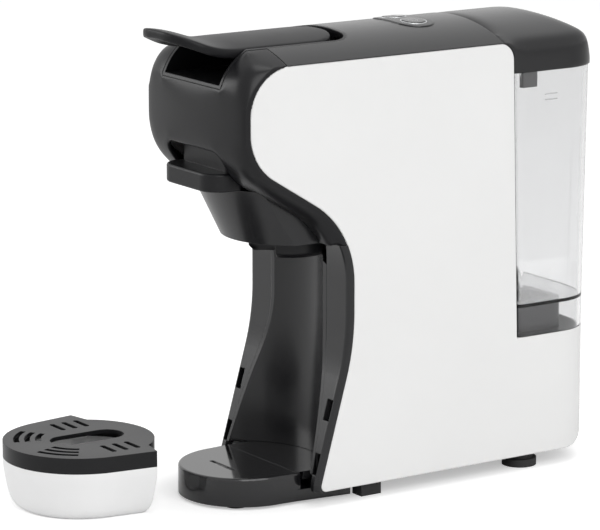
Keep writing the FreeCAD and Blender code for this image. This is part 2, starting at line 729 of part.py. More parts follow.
# Capsule adapter: a drawer with a handle, side flanges and a stepped cup for the capsule.
drawerHalf = size.drawer_width / 2
drawerRear = brewY + drawerHalf
handleRear = brewY - handleGap
adapter = upright([(-drawerHalf, handleRear - 8, 3), (drawerHalf, handleRear - 8, 3),
                   (drawerHalf, drawerRear, drawerHalf - 0.01), (-drawerHalf, drawerRear, drawerHalf - 0.01)],
                  size.drawer_floor, drawerTop)
handleHalf = size.handle_width / 2
handle = upright([(-handleHalf, -size.handle_front, 13), (handleHalf, -size.handle_front, 13),
                  (handleHalf, handleRear, 2), (-handleHalf, handleRear, 2)],
                 size.drawer_floor, size.drawer_floor + size.handle_height)
handleEdges = [edge for edge in handle.Edges if abs(edge.CenterOfMass.y + size.handle_front) < 14
               and abs(edge.CenterOfMass.z - size.drawer_floor - size.handle_height / 2) > 1]
handle = handle.makeFillet(1.5, handleEdges)
gripHollow = slab(6 - handleHalf, handleHalf - 6, 5 - size.handle_front, handleRear - 5,
                  0, size.drawer_floor + 6)
flanges = slab(-drawerHalf - 3.5, drawerHalf + 3.5, handleRear, drawerRear - 2, railZ, railZ + drawerFlange)
adapter = adapter.fuse([handle, flanges]).cut(gripHollow)
cupRadius, cupRim, cupFloor = 15, 18.5, size.drawer_floor + 5
adapter = adapter.cut(drum(cupRadius, cupFloor, far, brewY))
adapter = adapter.cut(drum(cupRim, drawerTop - 2, far, brewY)).cut(drum(4, 0, far, brewY))
subPart(formed("capsule_adapter", adapter.removeSplitter()))

adapterSeal = cut("adapter_seal", rod("adapter_ring", (0, "-brew_front", cupFloor), cupRadius, 1.5),
                  rod("adapter_ring_hole", (0, "-brew_front", cupFloor - 1), cupRadius - 4, 4))
subPart(adapterSeal)

# Funnel that gathers the coffee under the adapter and drops it through the snout's port.
funnelTop, funnelNeck = snoutTop, size.head_underside + 12
funnelRadius = 16


def funnelForm(shrink):
    cone = Part.makeCone(spoutPort - shrink, funnelRadius - shrink, funnelTop - funnelNeck,
                         Vector(0, brewY, funnelNeck))
    return cone.fuse(drum(spoutPort - shrink, size.head_underside - 1, funnelNeck, brewY))


subPart(formed("brew_funnel", funnelForm(0).cut(funnelForm(2))))

# Collar under the head, in front of the splash plate's arched top.
collarRadius, collarFront, collarDrop = 26, 57, 6
collar = drum(collarRadius, size.head_underside - collarDrop, size.head_underside, -collarFront)
collar = collar.cut(slab(-far, far, -size.throat_front + 7, far, 0, far))
collar = collar.cut(drum(spoutPort + 3, 0, far, brewY))
subPart(formed("spout_collar", collar))


# A hose of round section through points, with tangent bends at the inner points.
def hose(points, radius, bend):
    points = [Vector(*point) for point in points]
    edges = []
    start = points[0]
    for index in range(1, len(points) - 1):
        corner = points[index]
        before = (points[index - 1] - corner).normalize()
        after = (points[index + 1] - corner).normalize()
        turn = before.getAngle(after) / 2
        reach = bend / math.tan(turn)
        middle = corner + (before + after).normalize() * (bend / math.sin(turn) - bend)
        bendStart = corner + before * reach
        bendEnd = corner + after * reach
        edges.append(Part.LineSegment(start, bendStart).toShape())
        edges.append(Part.Arc(bendStart, middle, bendEnd).toShape())
        start = bendEnd
    edges.append(Part.LineSegment(start, points[-1]).toShape())
    section = Part.Wire(Part.makeCircle(radius, points[0], points[1] - points[0]))
    return Part.Wire(edges).makePipeShell([section], True, True)


# Chassis: an upright bulkhead behind the brew group and a shelf for the heater.
bulkFront = frameRear
bulkRear = bulkFront + 3
bulkTop = wellBottom - 15
shelfTop = size.deck_height + 7
bayWall = 2.4
shelfRear = size.notch_head - bayWall - 2
chassis = slab(-inside, inside, bulkFront, bulkRear, plateTop, bulkTop)
chassis = chassis.fuse(slab(-inside, inside, bulkRear, shelfRear, shelfTop - 3, shelfTop))
for side in (-1, 1):
    low, high = sorted((side * (inside - 3), side * inside))
    chassis = chassis.fuse(slab(low, high, bulkRear, shelfRear, shelfTop, shelfTop + 12))
    chassis = chassis.fuse(slab(low, high, shelfRear - 12, shelfRear, plateTop, shelfTop))
chassis = chassis.cut(slab(-20, 20, bulkRear + 2, bulkRear + 20, shelfTop - 4, shelfTop + 1))
subPart(formed("chassis", chassis.removeSplitter()))

# Tank bay: the rear wall and the deck that the water tank stands on.
outletDepth = 105
socketRadius = 7
bay = insidePanels.cut(acrossX(swollen(panelOutline, -bayWall), -far, far))
bay = bay.common(slab(-inside, inside, size.notch_head - 12, far,
                      size.deck_height - bayWall - 1, size.side_height - 2))
bay = bay.common(upright(bodyPlan(size.panel_wall, -far, size.rear_depth - size.panel_wall), 0, far))
subPart(formed("tank_bay", bay.cut(drum(socketRadius, 0, size.deck_height + 1, outletDepth))))

plinthTop = size.tank_floor - 1
plinth = upright([(-44, size.tank_front + 4, 4), (44, size.tank_front + 4, 4), (44, 126, 8), (-44, 126, 8)],
                 size.deck_height, plinthTop)
plinth = plinth.cut(drum(socketRadius, 0, far, outletDepth))
for side in (-1, 1):
    pocket = upright([(side * 26 - 11, size.tank_front + 10, 2), (side * 26 + 11, size.tank_front + 10, 2),
                      (side * 26 + 11, 120, 2), (side * 26 - 11, 120, 2)], size.deck_height + 6, far)
    plinth = plinth.cut(pocket)
subPart(formed("tank_dock", plinth))

sealBottom = plinthTop - 5
dockSeal = cut("dock_seal", rod("dock_ring", (0, outletDepth, sealBottom), socketRadius, 5),
               rod("dock_ring_hole", (0, outletDepth, sealBottom - 1), "4+clear_gap", 10))
subPart(dockSeal)

# Water path: flow meter under the deck, pump on rubber mounts, heater on the shelf.
pumpZ, pumpRadius, pumpFront, pumpRear = 45, 12, -10, 72
meterBottom = size.deck_height - bayWall - 18
meter = fuse("flow_meter",
             rod("meter_case", (0, outletDepth, meterBottom), 13, f"deck_height-{bayWall}-{meterBottom}"),
             rod("meter_nozzle", (0, outletDepth, meterBottom - 4), 5, 4))
subPart(meter)
suctionHose = hose([(0, outletDepth, meterBottom - 4), (0, outletDepth, pumpZ), (0, pumpRear, pumpZ)], 4, 12)

pump = fuse("pump_body",
            rod("pump_barrel", (0, pumpFront + 8, pumpZ), pumpRadius, pumpRear - pumpFront - 16, alongY),
            rod("pump_inlet", (0, pumpRear - 8, pumpZ), 5, 8, alongY),
            rod("pump_outlet", (0, pumpFront, pumpZ), 5, 8, alongY))
subPart(pump)
coilFront, coilLength, coilHalf = 10, 42, 20
pumpCoil = cut("pump_coil",
               box("coil_block", (-coilHalf, coilFront, pumpZ - coilHalf),
                   2 * coilHalf, coilLength, 2 * coilHalf),
               rod("coil_bore", (0, coilFront - 1, pumpZ), pumpRadius, coilLength + 2, alongY))
subPart(pumpCoil)
mountPieces = []
for index, mountY in enumerate((0, 54)):
    foot = fuse(f"mount_{index}_blank",
                rod(f"mount_{index}_ring", (0, mountY, pumpZ), pumpRadius + 4, 6, alongY),
                box(f"mount_{index}_foot", (-9, mountY, plateTop), 18, 6, pumpZ - plateTop))
    mountPieces.append(cut(f"mount_{index}", foot,
                           rod(f"mount_{index}_bore", (0, mountY - 1, pumpZ), pumpRadius, 8, alongY)))
subPart(group("pump_mounts", *mountPieces))

heaterBottom, heaterTop = shelfTop + 4, shelfTop + 32
heaterHalf, heaterFront, heaterRear = 32, -14, 50
heater = slab(-heaterHalf, heaterHalf, heaterFront, heaterRear, heaterBottom, heaterTop)
for index in range(5):
    finY = heaterFront + 10 + 10 * index
    heater = heater.cut(slab(-far, far, finY, finY + 4, heaterTop - 6, far))
for x in (8 - heaterHalf, heaterHalf - 8):
    for y in (heaterFront + 8, heaterRear - 8):
        heater = heater.fuse(drum(4, shelfTop, heaterBottom + 1, y, x))
elementAcross, elementZ = 18, heaterBottom + 9
elements = []
for x in (-elementAcross, elementAcross):
    element = Part.makeCylinder(4, heaterRear + 8 - heaterFront, Vector(x, heaterFront, elementZ),
                                Vector(0, 1, 0))
    heater = heater.cut(element)
    elements.append(element)
subPart(formed("thermoblock", heater.removeSplitter()))
subPart(formed("heater_elements", Part.Compound(elements)))
thermostat = rod("thermostat", (-20, 13, heaterTop), 6, 5)
thermalFuse = box("thermal_fuse", (-6, 36, heaterTop - 6), 12, 4, 6)
subPart(group("thermal_guards", thermostat, thermalFuse))

inletZ = heaterBottom + 18
riserY = heaterFront - 8
pressureHose = hose([(0, pumpFront, pumpZ), (0, riserY, pumpZ), (0, riserY, inletZ),
                     (0, heaterFront, inletZ)], 3, 6)
valveX, valveY, valveTop = 27, 23, heaterTop + 14
subPart(rod("outlet_valve", (valveX, valveY, heaterTop), 5, valveTop - heaterTop))
feedZ = blockBottom + 3.5
brewHose = hose([(valveX, valveY, valveTop), (valveX, valveY, feedZ), (valveX, brewY, feedZ),
                 (6, brewY, feedZ)], 2.5, 12)
subPart(formed("water_hoses", Part.Compound([suctionHose, pressureHose, brewHose])))

# Control board under the top cover, with its switches and larger components.
boardThick = 1.6
board = cut("control_board",
            box("board_blank", (-boardHalf, boardFront, boardTop - boardThick), 2 * boardHalf,
                boardRear - boardFront, boardThick),
            rod("board_notch", (0, boardRear, boardTop - 5), 6, 10))
subPart(board)
switches = [box(f"switch_{index}", (f"{side}*button_spacing/2-3", "button_depth-3", boardTop),
                6, 6, switchHeight)
            for index, side in enumerate((-1, 1))]
underBoard = boardTop - boardThick
components = [box("relay", (-28, 12, underBoard - 14), 20, 16, 14),
              box("transformer", (2, 12, underBoard - 12), 16, 18, 12),
              rod("capacitor", (-14, 44, underBoard - 12), 5, 12)]
subPart(group("board_components", *switches, *components))
screwAt = [(x, y) for x in (-34, 34) for y in (-8, 64)]
screws = [rod(f"screw_{index}", (x, y, "sole_height-1.6"), 3, 1.6) for index, (x, y) in enumerate(screwAt)]
subPart(group("bottom_screws", *screws))


# Water tank: clear walls that follow the bay, a raised floor and a skirt round the dock.
def tankSection(inset, height):
    climb = (height - size.deck_height) / (size.tank_top - size.deck_height)
    notch = size.notch_foot + (size.notch_head - size.notch_foot) * (
        (height - size.deck_height) / (size.side_height - size.deck_height))
    front = notch + size.tank_front - size.notch_foot + inset
    rear = size.rear_depth + (size.tank_rear - size.rear_depth) * climb - inset
    reach = half - size.clear_gap - inset
    corner = size.corner_radius - inset
    return roundedWire([(-reach, front, 4 - inset), (reach, front, 4 - inset),
                        (reach, rear, corner), (-reach, rear, corner)],
                       lambda point: Vector(point.x, point.y, height))


def tankForm(inset, bottom, top):
    return Part.makeLoft([tankSection(inset, bottom), tankSection(inset, top)], True, True)


floorThick = 2.2
valveRadius = 4
tank = tankForm(0, size.deck_height, size.tank_top)
tank = tank.cut(tankForm(size.tank_wall, size.tank_floor + floorThick, size.tank_top + 1))
tank = tank.cut(tankForm(size.tank_wall, size.deck_height - 1, size.tank_floor))
subPart(formed("water_tank", tank.cut(drum(valveRadius, 0, far, outletDepth))))

subPart(rod("tank_valve", (0, outletDepth, sealBottom - 3), valveRadius,
            f"tank_floor+{floorThick + 3}-{sealBottom - 3}"))
filterCap = cut("tank_filter",
                rod("filter_cap", (0, outletDepth, f"tank_floor+{floorThick}"), 10, 9),
                rod("filter_room", (0, outletDepth, f"tank_floor+{floorThick}-1"), 8, 8),
                *[box(f"filter_slot_{index}",
                      (-20, outletDepth - 7 + 4 * index, f"tank_floor+{floorThick + 2}"), 40, 2, 4)
                  for index in range(4)])
subPart(filterCap)

# Tank lid: the crown carried on to a domed rear end, hollow, with two hooks inside the tank.
lidRear = size.tank_rear + 1
domeRadius, domeLift = 46, 3


def lidForm(inset):
    lidFront = size.lid_seam + size.clear_gap + inset
    body = upright(bodyPlan(inset, lidFront, lidRear - inset), size.tank_top, far)
    body = body.common(underCrown(inset, 0, far))
    domeTop = crownTop + domeLift - inset
    dome = acrossX([(0, 0, 0), (lidRear - inset, 0, 0), (lidRear - inset, domeTop, domeRadius - inset),
                    (0, domeTop, 0)], -far, far)
    bayForm = acrossX(swollen(panelOutline, size.clear_gap + inset), -far, far)
    return body.common(dome).cut(bayForm)


lidWall = size.shell_wall
subPart(formed("tank_lid", lidForm(0).cut(lidForm(lidWall)).removeSplitter()))

hookOuter = half - lidWall
hookInner = hookOuter - 3.2
hookY, hookWide, hookDrop = 84, 11, 10
hook = slab(hookInner, hookInner + 2.2, hookY, hookY + hookWide, size.tank_top - hookDrop, size.tank_top + 5)
hook = hook.fuse(slab(hookInner, hookOuter, hookY, hookY + hookWide, size.tank_top + 1, size.tank_top + 5))
hook = hook.removeSplitter()
mirrored = hook.mirror(Vector(), Vector(1, 0, 0))
subPart(formed("lid_hooks", Part.Compound([hook, mirrored])))

# Drip tray and grate share one outline: a round front, tangent sides to two ears, a smaller rear arc.
trayPlace = Vector(-size.tray_side, -size.tray_front, 0)
earAcross, earBack = 52.5, 23
rearArc = size.tray_radius - 3.5


def trayOutline(scale, height):
    front = size.tray_radius * scale
    rear = rearArc * scale
    ear = Vector(earAcross * scale, earBack * scale, height)
    flankAngle = math.atan2(ear.y, ear.x) - math.acos(front / math.hypot(ear.x, ear.y))
    flank = Vector(front * math.cos(flankAngle), front * math.sin(flankAngle), height)
    stepY = ear.y + 3 * scale
    step = Vector(math.sqrt(rear ** 2 - stepY ** 2), stepY, height)
    flip = lambda point: Vector(-point.x, point.y, point.z)
    edges = [
        Part.Arc(flip(flank), Vector(0, -front, height), flank),
        Part.LineSegment(flank, ear),
        Part.LineSegment(ear, step),
        Part.Arc(step, Vector(0, rear, height), flip(step)),
        Part.LineSegment(flip(step), flip(ear)),
        Part.LineSegment(flip(ear), flip(flank)),
    ]
    return Part.Wire([edge.toShape() for edge in edges])


thin = size.tray_wall / size.tray_radius
trayShape = [(0.80, 0), (0.905, 5), (0.96, 14), (0.985, 21), (1, size.tray_height)]
bowl = Part.makeLoft([trayOutline(scale, height) for scale, height in trayShape], True)
bowlRoom = Part.makeLoft([trayOutline(scale - thin, height + size.tray_wall * (1 - height / size.tray_height))
                          for scale, height in trayShape], True)
lipRoom = Part.Face(trayOutline(1 - thin, size.tray_height)).extrude(Vector(0, 0, 5))
tray = bowl.cut(bowlRoom).cut(lipRoom)
tray = tray.fuse(drum(5, size.tray_wall / 2, size.tray_wall + 3, 0))
subPart(formed("drip_tray", tray, FreeCAD.Placement(trayPlace, FreeCAD.Rotation())))


# A straight slot with round ends along X or Y, through everything.
def slot(x, y, length, width, along):
    wide, deep = (length, width) if along == "x" else (width, length)
    corner = width / 2 - 0.01
    return upright([(x - wide / 2, y - deep / 2, corner), (x + wide / 2, y - deep / 2, corner),
                    (x + wide / 2, y + deep / 2, corner), (x - wide / 2, y + deep / 2, corner)], -1, far)


def arcSlot(radius, width, startAngle, endAngle):
    ring = drum(radius + width / 2, -1, far, 0).cut(drum(radius - width / 2, -2, far, 0))
    reach = 2 * radius
    wedge = Part.Face(Part.makePolygon([
        Vector(0, 0, -3),
        Vector(reach * math.cos(math.radians(startAngle)), reach * math.sin(math.radians(startAngle)), -3),
        Vector(reach * math.cos(math.radians(endAngle)), reach * math.sin(math.radians(endAngle)), -3),
        Vector(0, 0, -3)])).extrude(Vector(0, 0, far))
    return ring.common(wedge)


grateTop = 2.6
grate = Part.Face(trayOutline(1, 0)).extrude(Vector(0, 0, size.grate_skirt))
grateRoom = Part.Face(trayOutline(1 - 1.4 * thin, 0)).extrude(Vector(0, 0, size.grate_skirt - grateTop))
grate = grate.cut(grateRoom)
grate = grate.cut(slot(0, 4, 50, 22, "y"))
slotWidth = 3.6
for side in (-1, 1):
    for index in range(3):
        grate = grate.cut(slot(side * 31, 1 + 8.5 * index, 17, slotWidth, "x"))
        middle = -90 + side * 38
        grate = grate.cut(arcSlot(27 + 6.8 * index, slotWidth, middle - 19, middle + 19))
gratePlace = trayPlace + Vector(0, 0, size.tray_height)
subPart(formed("drip_grate", grate, FreeCAD.Placement(gratePlace, FreeCAD.Rotation())))

# Every piece must be sound before anything is written.
doc.recompute()
for thing in doc.Objects:
    if "Invalid" in thing.State or "Error" in thing.State:
        raise RuntimeError(f"{thing.Label} did not recompute")
for piece in subParts:
    if piece.Shape.isNull() or not piece.Shape.isValid():
        raise RuntimeError(f"{piece.Label} has no sound shape")

os.makedirs("parts", exist_ok=True)
for piece in subParts:
    piece.Shape.exportStep(f"parts/{piece.Label}.step")
    print(piece.Label, len(piece.Shape.Solids), round(piece.Shape.Volume))
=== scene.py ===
import bmesh
import bpy
import numpy
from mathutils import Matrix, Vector


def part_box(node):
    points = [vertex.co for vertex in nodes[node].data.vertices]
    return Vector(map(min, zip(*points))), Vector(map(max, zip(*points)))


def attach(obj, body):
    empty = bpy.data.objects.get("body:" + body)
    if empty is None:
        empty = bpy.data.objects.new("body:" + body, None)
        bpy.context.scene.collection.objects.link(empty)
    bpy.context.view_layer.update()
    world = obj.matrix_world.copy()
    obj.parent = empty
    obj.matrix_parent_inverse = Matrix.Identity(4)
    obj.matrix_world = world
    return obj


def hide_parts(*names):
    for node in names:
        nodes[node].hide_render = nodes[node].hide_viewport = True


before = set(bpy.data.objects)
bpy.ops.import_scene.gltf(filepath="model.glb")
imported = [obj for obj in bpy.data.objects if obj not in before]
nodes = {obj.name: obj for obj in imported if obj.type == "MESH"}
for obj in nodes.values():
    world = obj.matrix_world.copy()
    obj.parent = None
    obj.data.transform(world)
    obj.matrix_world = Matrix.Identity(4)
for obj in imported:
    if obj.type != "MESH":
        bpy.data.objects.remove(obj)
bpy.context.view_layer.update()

scene = bpy.context.scene
print("frame loaded,", len(nodes), "nodes")


class Flow:
    # wraps one shader socket, so that sums of values read as sums
    def __init__(self, tree, socket):
        self.tree = tree
        self.socket = socket

    def make(self, kind, settings=None, out=0, **values):
        # values go by the input's name, or by its place as in0, in1 and so on
        node = self.tree.nodes.new(kind)
        for name, value in (settings or {}).items():
            setattr(node, name, value)
        for name, value in values.items():
            byPlace = name.startswith("in") and name[2:].isdigit()
            socket = node.inputs[int(name[2:]) if byPlace else name.replace("_", " ")]
            if isinstance(value, Flow):
                self.tree.links.new(value.socket, socket)
            else:
                socket.default_value = value
        return Flow(self.tree, node.outputs[out])

    def maths(self, operation, other=0.0):
        return self.make("ShaderNodeMath", {"operation": operation}, in0=self, in1=other)

    def __add__(self, other):
        return self.maths("ADD", other)

    def __mul__(self, other):
        return self.maths("MULTIPLY", other)

    __radd__ = __add__
    __rmul__ = __mul__


def startMaterial(name):
    material = bpy.data.materials.new(name)
    material.use_nodes = True
    tree = material.node_tree
    tree.nodes.clear()
    output = tree.nodes.new("ShaderNodeOutputMaterial")
    place = tree.nodes.new("ShaderNodeTexCoord")
    return material, tree, output, Flow(tree, place.outputs["Object"])


def blendColours(place, factor, first, second):
    ends = [end if isinstance(end, Flow) else (*end, 1.0) for end in (first, second)]
    return place.make("ShaderNodeMix", {"data_type": "RGBA"}, out=2,
                      in0=factor, in6=ends[0], in7=ends[1])


def noise(place, scale, detail):
    return place.make("ShaderNodeTexNoise", Vector=place, Scale=scale, Detail=detail)


# Moulded plastics, rubber and metals differ only in these numbers.
black = {"low": (0.006, 0.006, 0.007), "high": (0.010, 0.010, 0.011)}
finishes = {
    "whiteGloss": {"low": (0.80, 0.80, 0.795), "high": (0.84, 0.84, 0.835), "rough": (0.10, 0.16),
                   "grain": 900, "bump": 0.008, "edge": 0.0011, "coat": 0.4, "cloud": 14},
    "blackSatin": {**black, "rough": (0.27, 0.37), "grain": 2600, "bump": 0.06, "edge": 0.0007,
                   "cloud": 30, "shine": 0.26},
    "blackMatt": {**black, "rough": (0.34, 0.44), "grain": 2600, "bump": 0.06, "edge": 0.0007,
                  "cloud": 30, "shine": 0.18},
    "blackSheen": {**black, "rough": (0.20, 0.26), "grain": 1800, "bump": 0.02, "edge": 0.0008,
                   "cloud": 24, "shine": 0.50},
    "blackGloss": {**black, "rough": (0.07, 0.13), "grain": 1200, "bump": 0.01, "edge": 0.0008,
                   "coat": 0.3, "cloud": 22},
    "blackStrip": {**black, "rough": (0.07, 0.13), "grain": 1200, "bump": 0.01, "edge": 0.00005,
                   "coat": 0.3, "cloud": 22},
    "greyPlastic": {"low": (0.19, 0.19, 0.195), "high": (0.24, 0.24, 0.245), "rough": (0.36, 0.46),
                    "grain": 2200, "bump": 0.05, "edge": 0.0006, "cloud": 30},
    "smokeGrey": {"low": (0.085, 0.085, 0.088), "high": (0.11, 0.11, 0.113), "rough": (0.30, 0.40),
                  "grain": 2200, "bump": 0.05, "edge": 0.0006, "cloud": 30},
    "rubberBlack": {"low": (0.013, 0.013, 0.013), "high": (0.024, 0.024, 0.024), "rough": (0.62, 0.78),
                    "grain": 3000, "bump": 0.12, "edge": 0.0006, "cloud": 60},
    "steel": {"low": (0.52, 0.53, 0.54), "high": (0.63, 0.64, 0.65), "rough": (0.20, 0.34),
              "grain": 3200, "bump": 0.04, "edge": 0.0003, "cloud": 90, "metal": 1.0},
    "brassFitting": {"low": (0.62, 0.45, 0.19), "high": (0.72, 0.54, 0.25), "rough": (0.22, 0.36),
                     "grain": 2600, "bump": 0.04, "edge": 0.0003, "cloud": 80, "metal": 1.0},
    "castAluminium": {"low": (0.50, 0.51, 0.52), "high": (0.64, 0.65, 0.66), "rough": (0.42, 0.58),
                      "grain": 1500, "bump": 0.25, "edge": 0.0006, "cloud": 120, "metal": 1.0},
    "paintedCoil": {"low": (0.15, 0.16, 0.18), "high": (0.20, 0.21, 0.23), "rough": (0.34, 0.46),
                    "grain": 1800, "bump": 0.06, "edge": 0.0005, "coat": 0.1, "cloud": 60},
    "hoseRubber": {"low": (0.62, 0.61, 0.58), "high": (0.72, 0.71, 0.68), "rough": (0.42, 0.54),
                   "grain": 1600, "bump": 0.05, "edge": 0.0004, "cloud": 60},
    "boardGreen": {"low": (0.015, 0.10, 0.045), "high": (0.025, 0.15, 0.065), "rough": (0.26, 0.38),
                   "grain": 1400, "bump": 0.05, "edge": 0.0003, "coat": 0.2, "cloud": 160},
    "markGrey": {"low": (0.50, 0.50, 0.51), "high": (0.58, 0.58, 0.59), "rough": (0.30, 0.40),
                 "grain": 3000, "bump": 0.03, "edge": 0.0001, "cloud": 200},
}
plainShine = 0.5
coatRough = 0.04

# Milky tray: soft white that lets some light through.
trayLook = {"low": (0.86, 0.86, 0.86), "high": (0.90, 0.90, 0.90), "rough": (0.34, 0.44), "cloud": 40,
            "grain": 1600, "bump": 0.05, "edge": 0.0008, "through": 0.25, "depth": (0.004, 0.004, 0.004)}

# What every grained surface shares: detail of both noises, rays for rounded edges, height of the grain.
grainLook = {"cloudDetail": 3.0, "grainDetail": 2.0, "edgeSamples": 4, "height": 0.0004}


def grainedFinish(name, look, **extra):
    material, tree, output, place = startMaterial(name)
    cloud = noise(place, look["cloud"], grainLook["cloudDetail"])
    grain = noise(place, look["grain"], grainLook["grainDetail"])
    roughLow, roughHigh = look["rough"]
    rounded = place.make("ShaderNodeBevel", {"samples": grainLook["edgeSamples"]}, Radius=look["edge"])
    relief = place.make("ShaderNodeBump", Strength=look["bump"], Distance=grainLook["height"],
                        Height=grain, Normal=rounded)
    surface = place.make("ShaderNodeBsdfPrincipled",
                         Base_Color=blendColours(place, cloud, look["low"], look["high"]),
                         Roughness=cloud * (roughHigh - roughLow) + roughLow, Normal=relief, **extra)
    tree.links.new(surface.socket, output.inputs["Surface"])
    return material


# Clear tank: smoky plastic with faint clouds from moulding, and painted shade that darkens its rear outer
# corners.
tankLook = {"tint": (0.82, 0.822, 0.825), "dull": (0.78, 0.782, 0.785), "corner": (0.50, 0.502, 0.505),
            "shadeDepth": (0.132, 0.147), "shadeSide": (0.044, 0.055), "rough": 0.01, "haze": 0.03,
            "cloud": 26, "cloudDetail": 4.0, "ior": 1.47}


def clearFinish(name, look):
    material, tree, output, place = startMaterial(name)
    cloud = noise(place, look["cloud"], look["cloudDetail"])
    sideways = place.make("ShaderNodeSeparateXYZ", out=0, Vector=place)
    rearward = place.make("ShaderNodeSeparateXYZ", out=1, Vector=place)
    # painted shade: the base colour turns darker towards the rear outer corners of the tank
    outward = sideways.maths("ABSOLUTE")
    corner = 1.0
    for reach, (start, end) in ((rearward, look["shadeDepth"]), (outward, look["shadeSide"])):
        corner = corner * place.make("ShaderNodeMapRange", Value=reach, From_Min=start, From_Max=end)
    skin = blendColours(place, cloud, look["tint"], look["dull"])
    surface = place.make("ShaderNodeBsdfPrincipled",
                         Base_Color=blendColours(place, corner, skin, look["corner"]),
                         Roughness=cloud * look["haze"] + look["rough"], IOR=look["ior"],
                         Transmission_Weight=1.0)
    tree.links.new(surface.socket, output.inputs["Surface"])
    return material


paints = {}
for finishName, finish in finishes.items():
    paints[finishName] = grainedFinish(finishName, finish, Metallic=finish.get("metal", 0.0),
                                       Coat_Weight=finish.get("coat", 0.0), Coat_Roughness=coatRough,
                                       Specular_IOR_Level=finish.get("shine", plainShine))
paints["clearTank"] = clearFinish("clearTank", tankLook)
paints["milkyTray"] = grainedFinish("milkyTray", trayLook, Subsurface_Weight=trayLook["through"],
                                    Subsurface_Radius=trayLook["depth"])

# Which finish each piece of the machine has.
dressing = {
    "whiteGloss": ["left_panel", "right_panel"],
    "blackSatin": ["head_shell", "capsule_adapter", "back_cover", "bottom_plate", "spout_collar",
                   "tank_bay", "drip_grate", "lever_well"],
    "blackMatt": ["lever"],
    "blackSheen": ["splash_plate", "column_frame", "snout_cover", "top_cover", "tank_lid",
                   "button_bezel"],
    "blackGloss": ["front_base", "left_button", "right_button"],
    "smokeGrey": ["tank_dock", "lid_hooks"],
    "greyPlastic": ["tank_filter", "chassis", "flow_meter", "brew_frame", "brew_funnel"],
    "clearTank": ["water_tank"],
    "milkyTray": ["drip_tray"],
    "rubberBlack": ["cord_gland", "base_pads", "front_feet", "rear_feet", "piston_seal",
                    "adapter_seal", "dock_seal", "pump_mounts"],
    "steel": ["lever_pin", "lever_cams", "roller_axle", "cam_rollers", "needle_plate", "guide_posts",
              "return_springs", "heater_elements", "bottom_screws", "crosshead"],
    "brassFitting": ["outlet_valve", "tank_valve", "thermal_guards", "feed_pipe"],
    "castAluminium": ["thermoblock", "brew_piston"],
    "paintedCoil": ["pump_coil", "pump_body", "board_components"],
    "hoseRubber": ["water_hoses"],
    "boardGreen": ["control_board"],
}
for finishName, members in dressing.items():
    for member in members:
        slots = nodes[member].material_slots
        for slot in slots:
            slot.material = paints[finishName]
        if not slots:
            nodes[member].data.materials.append(paints[finishName])
print("finishes on", sum(len(members) for members in dressing.values()), "nodes")


def addNode(tree, kind, settings=None, **values):
    node = tree.nodes.new(kind)
    for name, value in (settings or {}).items():
        setattr(node, name, value)
    for name, value in values.items():
        socket = node.inputs[name.replace("_", " ")]
        if hasattr(value, "is_output"):
            tree.links.new(value, socket)
        else:
            socket.default_value = value
    return node


# A Geometry Nodes tree that sets a row of like shapes and paints them.
def rowTree(name, sizes, shapeOne):
    tree = bpy.data.node_groups.new(name, "GeometryNodeTree")
    tree.interface.new_socket("Geometry", in_out="OUTPUT", socket_type="NodeSocketGeometry")
    inputs = [("Count", "Int"), ("Start", "Vector"), ("Step", "Vector"), *sizes, ("Paint", "Material")]
    for label, kind in inputs:
        tree.interface.new_socket(label, in_out="INPUT", socket_type="NodeSocket" + kind)
    given = tree.nodes.new("NodeGroupInput").outputs
    output = tree.nodes.new("NodeGroupOutput")
    row = addNode(tree, "GeometryNodeMeshLine", {"mode": "OFFSET"}, Count=given["Count"],
                  Start_Location=given["Start"], Offset=given["Step"])
    copies = addNode(tree, "GeometryNodeInstanceOnPoints", Points=row.outputs[0],
                     Instance=shapeOne(tree, given).outputs[0])
    real = addNode(tree, "GeometryNodeRealizeInstances", Geometry=copies.outputs[0])
    smooth = addNode(tree, "GeometryNodeSetShadeSmooth", Geometry=real.outputs[0])
    painted = addNode(tree, "GeometryNodeSetMaterial", Geometry=smooth.outputs[0],
                      Material=given["Paint"])
    tree.links.new(painted.outputs[0], output.inputs["Geometry"])
    return tree


ringPoints, wirePoints = 56, 10


def shapeRing(tree, given):
    hoop = addNode(tree, "GeometryNodeCurvePrimitiveCircle", Resolution=ringPoints, Radius=given["Radius"])
    wire = addNode(tree, "GeometryNodeCurvePrimitiveCircle", Resolution=wirePoints, Radius=given["Wire"])
    return addNode(tree, "GeometryNodeCurveToMesh", Curve=hoop.outputs[0], Profile_Curve=wire.outputs[0])


def shapeBar(tree, given):
    return addNode(tree, "GeometryNodeMeshCube", Size=given["Bar"])


ringRow = rowTree("ringRow", [("Radius", "Float"), ("Wire", "Float")], shapeRing)
barRow = rowTree("barRow", [("Bar", "Vector")], shapeBar)


# Gives the object the plain mesh that its one modifier makes.
def settle(piece, name):
    made = piece.evaluated_get(bpy.context.evaluated_depsgraph_get())
    mesh = bpy.data.meshes.new_from_object(made)
    piece.modifiers.clear()
    piece.data = mesh
    mesh.name = name


def growPiece(name, tree, sizes):
    piece = bpy.data.objects.new(name, bpy.data.meshes.new(name + "Seed"))
    scene.collection.objects.link(piece)
    modifier = piece.modifiers.new("grow", "NODES")
    modifier.node_group = tree
    for item in tree.interface.items_tree:
        if item.in_out == "INPUT":
            modifier[item.identifier] = sizes[item.name]
    settle(piece, name)
    return piece


